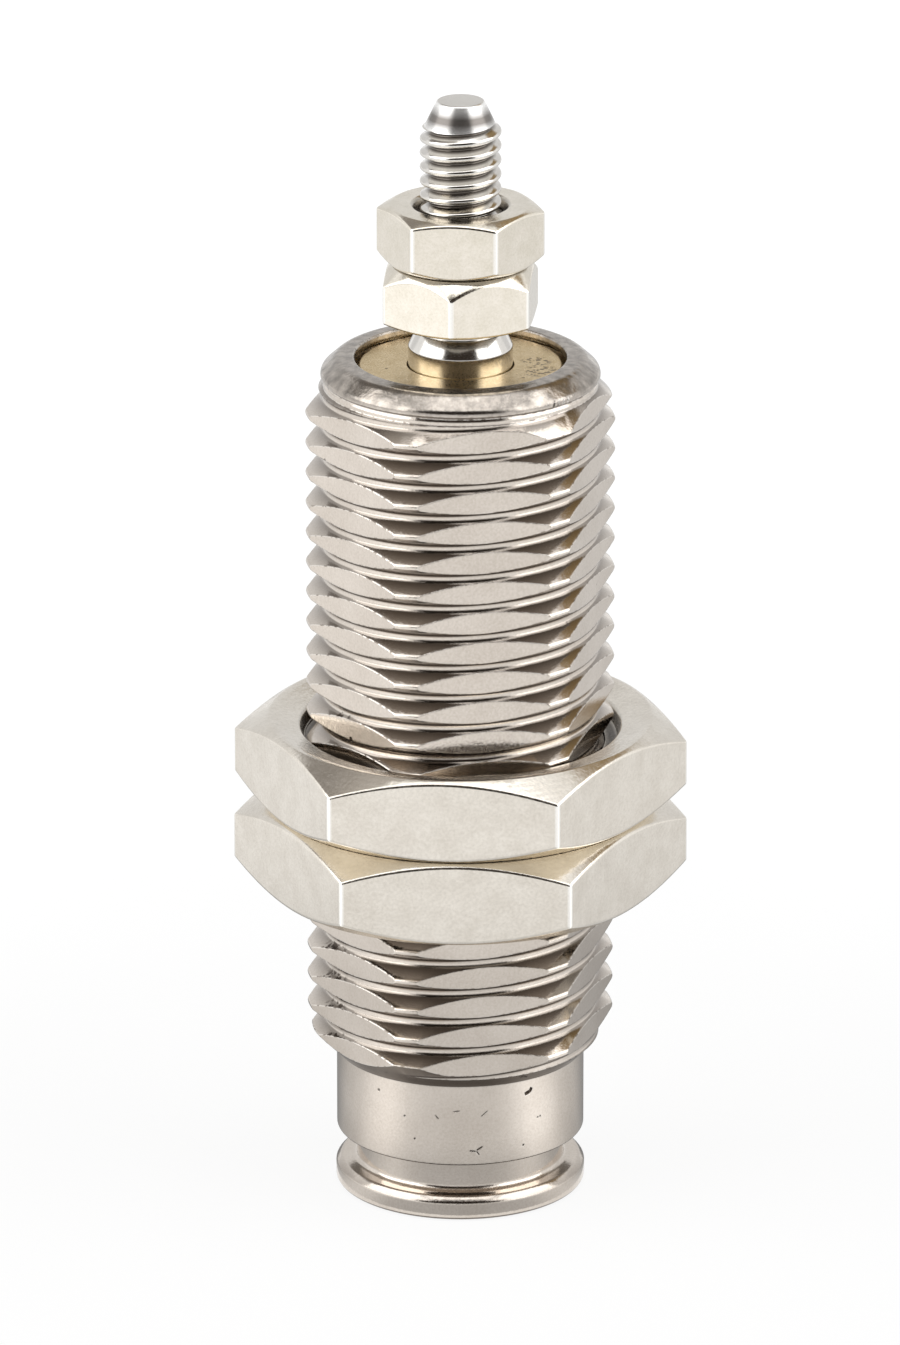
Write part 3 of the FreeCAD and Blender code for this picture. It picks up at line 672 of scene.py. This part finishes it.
def makeNuts(s, thread, material):
    top = s["height"]
    width = s["corner"] - s["face"]
    for name, node, bottom, turn, above, below in s["pieces"]:
        blank = turnSolid([
            (s["face"], 0, s["faceRound"]),
            (s["corner"], width * math.tan(math.radians(below)), 0),
            (s["corner"], top - width * math.tan(math.radians(above)), 0),
            (s["face"], top, s["faceRound"]),
            *[(radius, top - depth, edge) for radius, depth, edge in s["mouth"]],
            *[(radius, depth, edge) for radius, depth, edge in reversed(s["mouth"])],
        ])
        cutFlats(blank, s["flats"], 0, s["edge"])
        bmesh.ops.rotate(blank, verts=blank.verts[:], cent=(0, 0, 0),
                         matrix=Matrix.Rotation(math.radians(turn), 3, "Z"))
        bmesh.ops.translate(blank, verts=blank.verts[:], vec=(0, 0, bottom))
        piece = toObject(name, blank)
        core = threadCore(thread, bottom - runOut, bottom + top + runOut, s["clearance"])
        cutAway(piece, toObject("tap", core))
        settle(piece, node, node, material)


makeNuts(panelNutSet, bodySet, nutNickel)
makeNuts(rodNutSet, rodThread, rodNutNickel)

# Piston rod: ground bar, turned down behind for the piston and threaded in front
rodSet = {
    "section": [
        (0.0, 7.12, 0.0),
        (1.7, 7.12, 0.1),
        (1.7, 7.57, 0.0),
        (1.15, 7.57, 0.0),
        (1.15, 8.19, 0.0),
        (1.7, 8.19, 0.0),
        (1.7, 11.5, 0.0),
        (2.5, 11.5, 0.1),
        (2.5, 42.57, 0.05),
        (2.1, 43.33, 0.03),
        (1.97, 43.33, 0.0),
        (1.97, 53.27, 0.0),
        (1.7, 53.45, 0.06),
        (1.12, 54.67, 0.08),
        (0.0, 54.67, 0.0),
    ],
}


def makePistonRod(s, thread):
    piece = toObject("pistonRod", turnSolid(s["section"]))
    chaseThread(piece, thread, thread["threadBottom"], thread["threadTop"])
    settle(piece, "piston_rod", "rod", rodSteel)


makePistonRod(rodSet, rodThread)

# Turned pieces inside the body, each with its section, body and finish
turnedSet = [
    ("guideCollar", "guide_collar", "barrel", "collar_brass", collarBrass, [
        (3.3, 36.07, 0.1), (4.97, 36.07, 0.15), (4.97, 39.47, 0.0), (5.55, 39.47, 0.1),
        (5.55, 41.3, 0.1), (4.85, 41.3, 0.0), (4.85, 41.62, 0.1), (2.55, 41.62, 0.06), (2.55, 41.12, 0.0),
        (3.3, 41.12, 0.0)]),
    ("guideBush", "guide_bush", "barrel", "bush_bronze", bushBronze, [
        (2.53, 36.22, 0.15), (3.28, 36.22, 0.15), (3.28, 41.12, 0.1), (2.53, 41.12, 0.15)]),
    ("rearBumper", "rear_bumper", "barrel", "bumper_rubber", bumperRubber, [
        (3.1, 6.0, 0.1), (4.9, 6.0, 0.1), (4.9, 7.0, 0.3), (3.1, 7.0, 0.3)]),
    ("piston", "piston", "rod", "piston_brass", pistonBrass, [
        (3.15, 7.02, 0.1), (4.92, 7.02, 0.25), (4.92, 9.02, 0.05), (3.5, 9.02, 0.1), (3.5, 10.92, 0.1),
        (4.92, 10.92, 0.05), (4.92, 13.02, 0.2), (3.2, 13.02, 0.2), (3.2, 20.05, 0.15),
        (2.52, 20.05, 0.1), (2.52, 11.5, 0.0), (1.72, 11.5, 0.0), (1.72, 8.2, 0.0), (3.15, 8.2, 0.1)]),
    ("pistonSeal", "piston_seal", "rod", "seal_rubber", sealRubber, [
        (3.52, 9.04, 0.05), (3.86, 9.04, 0.08), (4.19, 9.69, 0.12), (4.58, 9.04, 0.08),
        (4.97, 9.04, 0.05), (4.85, 9.69, 0.1), (4.85, 10.9, 0.15), (3.52, 10.9, 0.15)]),
    ("frontBumper", "front_bumper", "rod", "bumper_rubber", bumperRubber, [
        (2.52, 20.07, 0.1), (3.2, 20.07, 0.1), (3.2, 21.02, 0.25), (2.52, 21.02, 0.15)]),
]


def makeTurnedPieces(rows):
    for name, node, body, slot, material, section in rows:
        settle(toObject(name, turnSolid(section)), node, body, material)


makeTurnedPieces(turnedSet)

# Piston clip: a turned ring with its mouth cut out
clipSet = {
    "mouth": 2.0,
    "sawSize": 5.0,
    "sawHeight": 8.0,
    "section": [(1.17, 7.58, 0.05), (3.0, 7.58, 0.05), (3.0, 8.18, 0.05), (1.17, 8.18, 0.05)],
}


def makePistonClip(s):
    piece = toObject("pistonClip", turnSolid(s["section"]))
    saw = bmesh.new()
    bmesh.ops.create_cube(saw, size=1)
    bmesh.ops.scale(saw, verts=saw.verts[:], vec=(s["mouth"], s["sawSize"], s["sawSize"]))
    bmesh.ops.translate(saw, verts=saw.verts[:], vec=(0, -s["sawSize"] / 2, s["sawHeight"]))
    cutAway(piece, toObject("saw", saw))
    settle(piece, "piston_clip", "rod", clipSteel)


makePistonClip(clipSet)

# Return spring: round wire wound between the piston's shoulder and the collar
springSet = {
    "radius": 4.1,
    "wire": 0.6,
    "turns": 8,
    "bottom": 13.04,
    "top": 36.05,
    "stroke": 15.0,
    "wireFacets": 12,
    "stepsPerTurn": 40,
    "sharpAngle": 50.0,
}


def makeReturnSpring(s):
    bm = bmesh.new()
    bmesh.ops.create_circle(bm, cap_ends=True, segments=s["wireFacets"], radius=s["wire"] / 2)
    bmesh.ops.rotate(bm, verts=bm.verts[:], cent=(0, 0, 0), matrix=Matrix.Rotation(math.pi / 2, 3, "X"))
    bmesh.ops.translate(bm, verts=bm.verts[:], vec=(s["radius"], 0, s["bottom"] + s["wire"] / 2))
    steps = s["turns"] * s["stepsPerTurn"]
    rise = s["top"] - s["bottom"] - s["wire"]
    bmesh.ops.spin(bm, geom=bm.verts[:] + bm.edges[:] + bm.faces[:], cent=(0, 0, 0), axis=(0, 0, 1),
                   dvec=(0, 0, rise / steps), angle=2 * math.pi * s["turns"], steps=steps)
    bmesh.ops.recalc_face_normals(bm, faces=bm.faces[:])
    piece = toObject("returnSpring", bm)
    settle(piece, "return_spring", "barrel", springSteel, s["sharpAngle"])
    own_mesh(piece)


makeReturnSpring(springSet)

# Floor: white paper that shows white and keeps the object's shadow
floorSet = {
    "size": 3.0,  # metres
    "color": "#f2f2f2",
    "glow": (0.885, 1.0),
    "glowReach": (30, 160),
    "shadowColor": "#646464",
}


def seenByEye(tree):
    # camera rays, and what metal and glass pass on to the camera
    path = addNode(tree, "ShaderNodeLightPath")
    seen = addNode(tree, "ShaderNodeMath", {"operation": "MAXIMUM"},
                   {0: path.outputs["Is Camera Ray"], 1: path.outputs["Is Glossy Ray"]})
    return addNode(tree, "ShaderNodeMath", {"operation": "MAXIMUM"},
                   {0: seen.outputs[0], 1: path.outputs["Is Transmission Ray"]}).outputs[0]


def makeFloor(s):
    bm = bmesh.new()
    bmesh.ops.create_grid(bm, x_segments=1, y_segments=1, size=s["size"] / 2)
    floor = toObject("floor", bm)
    material = bpy.data.materials.new("white paper sweep")
    material.use_nodes = True
    tree = material.node_tree
    tree.nodes.clear()
    paper = addNode(tree, "ShaderNodeBsdfDiffuse", {"Color": srgb(s["color"])})
    shadowed = addNode(tree, "ShaderNodeBsdfDiffuse", {"Color": srgb(s["shadowColor"])})
    place = addNode(tree, "ShaderNodeTexCoord").outputs["Object"]
    reach = addNode(tree, "ShaderNodeVectorMath", {"operation": "LENGTH"}, {0: place})
    near, far = s["glowReach"]
    dim, bright = s["glow"]
    level = addNode(tree, "ShaderNodeMapRange",
                    {"From Min": near * mm, "From Max": far * mm, "To Min": dim, "To Max": bright},
                    {"Value": reach.outputs["Value"]})
    glow = addNode(tree, "ShaderNodeEmission", {"Color": (1, 1, 1, 1)}, {"Strength": level.outputs[0]})
    white = addNode(tree, "ShaderNodeAddShader", None, {0: shadowed.outputs[0], 1: glow.outputs[0]})
    mix = addNode(tree, "ShaderNodeMixShader", None,
                  {0: seenByEye(tree), 1: paper.outputs[0], 2: white.outputs[0]})
    addNode(tree, "ShaderNodeOutputMaterial", None, {"Surface": mix.outputs[0]})
    floor.data.materials.append(material)


makeFloor(floorSet)


def awayFrom(azimuth, elevation):
    # direction seen from the object; azimuth 0 is the camera's side and 90 its right
    turn = math.radians(azimuth)
    rise = math.radians(elevation)
    return Vector((math.sin(turn) * math.cos(rise), -math.cos(turn) * math.cos(rise), math.sin(rise)))


# Lamps: a soft box on each side and one overhead
stageMiddle = Vector((0, 0, 25)) * mm
lampSet = [  # azimuth, elevation, distance, width, height, brightness
    ("softBoxLeft", -74, 36, 400, 400, 360, 1.6),
    ("softBoxRight", 74, 36, 400, 400, 360, 1.6),
    ("softBoxTop", 0, 83, 450, 345, 300, 1.1),
]


def makeLamps(rows):
    for name, azimuth, elevation, distance, width, height, brightness in rows:
        away = awayFrom(azimuth, elevation)
        data = bpy.data.lights.new(name, "AREA")
        data.shape = "RECTANGLE"
        data.size = width * mm
        data.size_y = height * mm
        data.energy = brightness * math.pi * data.size * data.size_y
        lamp = bpy.data.objects.new(name, data)
        lamp.location = stageMiddle + away * distance * mm
        lamp.rotation_euler = (-away).to_track_quat("-Z", "Y").to_euler()
        bpy.context.scene.collection.objects.link(lamp)


makeLamps(lampSet)

# Cards: grey boards with soft borders that only the metal sees
cardSet = [  # azimuth, elevation, distance, width, height, soft border, tone
    ("cardFront", 0, 34, 480, 800, 600, 70, "#37312c"),
    ("cardBack", 180, 20, 500, 1400, 380, 60, "#e4e4e4"),
    ("cardBackHigh", 180, 52, 480, 500, 240, 60, "#8c8378"),
    ("cardBackLeft", -140, 52, 480, 460, 300, 60, "#8a8580"),
    ("cardBackRight", 140, 45, 480, 460, 220, 40, "#96815f"),
    ("cardTopLeft", -140, 70, 470, 260, 240, 50, "#b1aca6"),
]


def makeCard(name, bm):
    # a board that shows only in reflections, with its material still bare
    card = toObject(name, bm)
    material = bpy.data.materials.new(name)
    material.use_nodes = True
    material.node_tree.nodes.clear()
    card.data.materials.append(material)
    card.visible_camera = False
    card.visible_diffuse = False
    card.visible_shadow = False
    return card


def makeCards(rows):
    for name, azimuth, elevation, distance, width, height, border, tone in rows:
        away = awayFrom(azimuth, elevation)
        bm = bmesh.new()
        bmesh.ops.create_grid(bm, x_segments=1, y_segments=1, size=0.5)
        bmesh.ops.scale(bm, verts=bm.verts[:], vec=(width * mm, height * mm, 1))
        card = makeCard(name, bm)
        card.location = stageMiddle + away * distance * mm
        card.rotation_euler = (-away).to_track_quat("-Z", "Y").to_euler()
        tree = card.active_material.node_tree
        place = addNode(tree, "ShaderNodeSeparateXYZ", None,
                        {0: addNode(tree, "ShaderNodeTexCoord").outputs["Object"]})
        solid = None
        for axis, size in (("X", width), ("Y", height)):
            out = addNode(tree, "ShaderNodeMath", {"operation": "ABSOLUTE"}, {0: place.outputs[axis]})
            part = addNode(tree, "ShaderNodeMapRange",
                           {"interpolation_type": "SMOOTHSTEP", "From Min": size / 2 * mm,
                            "From Max": (size / 2 - border) * mm}, {"Value": out.outputs[0]}).outputs[0]
            solid = part if solid is None else addNode(tree, "ShaderNodeMath", {"operation": "MULTIPLY"},
                                                       {0: solid, 1: part}).outputs[0]
        glow = addNode(tree, "ShaderNodeEmission", {"Color": srgb(tone), "Strength": 1.0})
        clear = addNode(tree, "ShaderNodeBsdfTransparent")
        mix = addNode(tree, "ShaderNodeMixShader", None,
                      {0: solid, 1: clear.outputs[0], 2: glow.outputs[0]})
        addNode(tree, "ShaderNodeOutputMaterial", None, {"Surface": mix.outputs[0]})


makeCards(cardSet)

# Table glow: how bright the table looks from the object, at both sides, before and behind
tableSet = {
    "inner": 6.4,
    "outer": 400.0,
    "height": 0.1,
    "steps": 64,
    "brightest": 1.4,
    "tones": [  # from the back to the front
        (0.0, 0.2), (0.15, 0.27), (0.28, 0.43), (0.4, 0.51), (0.5, 0.59), (0.6, 0.75),
        (0.72, 0.86), (0.8, 0.81), (0.87, 0.66), (0.93, 0.57), (1.0, 0.53)],
    "near": 28.0,
    "far": 62.0,
    "farLift": (0.45, 0.635),  # far out the tones are closer to each other
    "leftLift": 0.08,  # and the left is brighter than the right
    "shade": (9.0, 16.0, 0.66),  # from, to, and how bright the table is close to the object
}


def makeTableGlow(s):
    bm = bmesh.new()
    ends = [bm.verts.new((reach * mm, 0, s["height"] * mm)) for reach in (s["inner"], s["outer"])]
    bmesh.ops.spin(bm, geom=ends + [bm.edges.new(ends)], cent=(0, 0, 0), axis=(0, 0, 1),
                   angle=2 * math.pi, steps=s["steps"], use_merge=True)
    tree = makeCard("tableGlow", bm).active_material.node_tree
    place = addNode(tree, "ShaderNodeMapping", {"Scale": (1, 1, 0)},
                    {"Vector": addNode(tree, "ShaderNodeTexCoord").outputs["Object"]}).outputs[0]
    way = addNode(tree, "ShaderNodeVectorMath", {"operation": "NORMALIZE"}, {0: place})
    parts = addNode(tree, "ShaderNodeSeparateXYZ", None, {0: way.outputs[0]})
    spot = addNode(tree, "ShaderNodeMapRange", {"From Min": 1.0, "From Max": -1.0},
                   {"Value": parts.outputs["Y"]})
    ramp = addNode(tree, "ShaderNodeValToRGB", None, {0: spot.outputs[0]})
    stops = ramp.color_ramp.elements
    ramp.color_ramp.interpolation = "CARDINAL"
    for i, (position, tone) in enumerate(s["tones"]):
        stop = stops[i] if i < 2 else stops.new(position)
        stop.position = position
        stop.color = (tone, tone, tone, 1)
    near = addNode(tree, "ShaderNodeMath", {"operation": "MULTIPLY", 1: s["brightest"]},
                   {0: ramp.outputs[0]}).outputs[0]
    gain, base = s["farLift"]
    lift = addNode(tree, "ShaderNodeMath", {"operation": "MULTIPLY_ADD", 1: -s["leftLift"], 2: base},
                   {0: parts.outputs["X"]}).outputs[0]
    far = addNode(tree, "ShaderNodeMath", {"operation": "MULTIPLY_ADD", 1: gain},
                  {0: near, 2: lift}).outputs[0]
    reach = addNode(tree, "ShaderNodeVectorMath", {"operation": "LENGTH"}, {0: place})
    out = addNode(tree, "ShaderNodeMapRange",
                  {"interpolation_type": "SMOOTHSTEP", "From Min": s["near"] * mm,
                   "From Max": s["far"] * mm}, {"Value": reach.outputs["Value"]})
    strength = addNode(tree, "ShaderNodeMix", None, {0: out.outputs[0], 2: near, 3: far})
    start, end, tone = s["shade"]
    shade = addNode(tree, "ShaderNodeMapRange",
                    {"From Min": start * mm, "From Max": end * mm, "To Min": tone},
                    {"Value": reach.outputs["Value"]})
    shaded = addNode(tree, "ShaderNodeMath", {"operation": "MULTIPLY"},
                     {0: strength.outputs[0], 1: shade.outputs[0]})
    glow = addNode(tree, "ShaderNodeEmission", {"Color": (1, 1, 1, 1)}, {"Strength": shaded.outputs[0]})
    addNode(tree, "ShaderNodeOutputMaterial", None, {"Surface": glow.outputs[0]})


makeTableGlow(tableSet)

# World: dim for the object's light, white for the eye
worldSet = {"room": 0.3, "paper": 1.0}


def makeWorld(s):
    world = bpy.data.worlds.new("studio")
    world.use_nodes = True
    tree = world.node_tree
    tree.nodes.clear()
    room = addNode(tree, "ShaderNodeBackground", {"Color": (1, 1, 1, 1), "Strength": s["room"]})
    paper = addNode(tree, "ShaderNodeBackground", {"Color": (1, 1, 1, 1), "Strength": s["paper"]})
    mix = addNode(tree, "ShaderNodeMixShader", None,
                  {0: seenByEye(tree), 1: room.outputs[0], 2: paper.outputs[0]})
    addNode(tree, "ShaderNodeOutputWorld", None, {"Surface": mix.outputs[0]})
    bpy.context.scene.world = world


makeWorld(worldSet)
bpy.context.scene.view_settings.view_transform = "Standard"
print("stage lit")
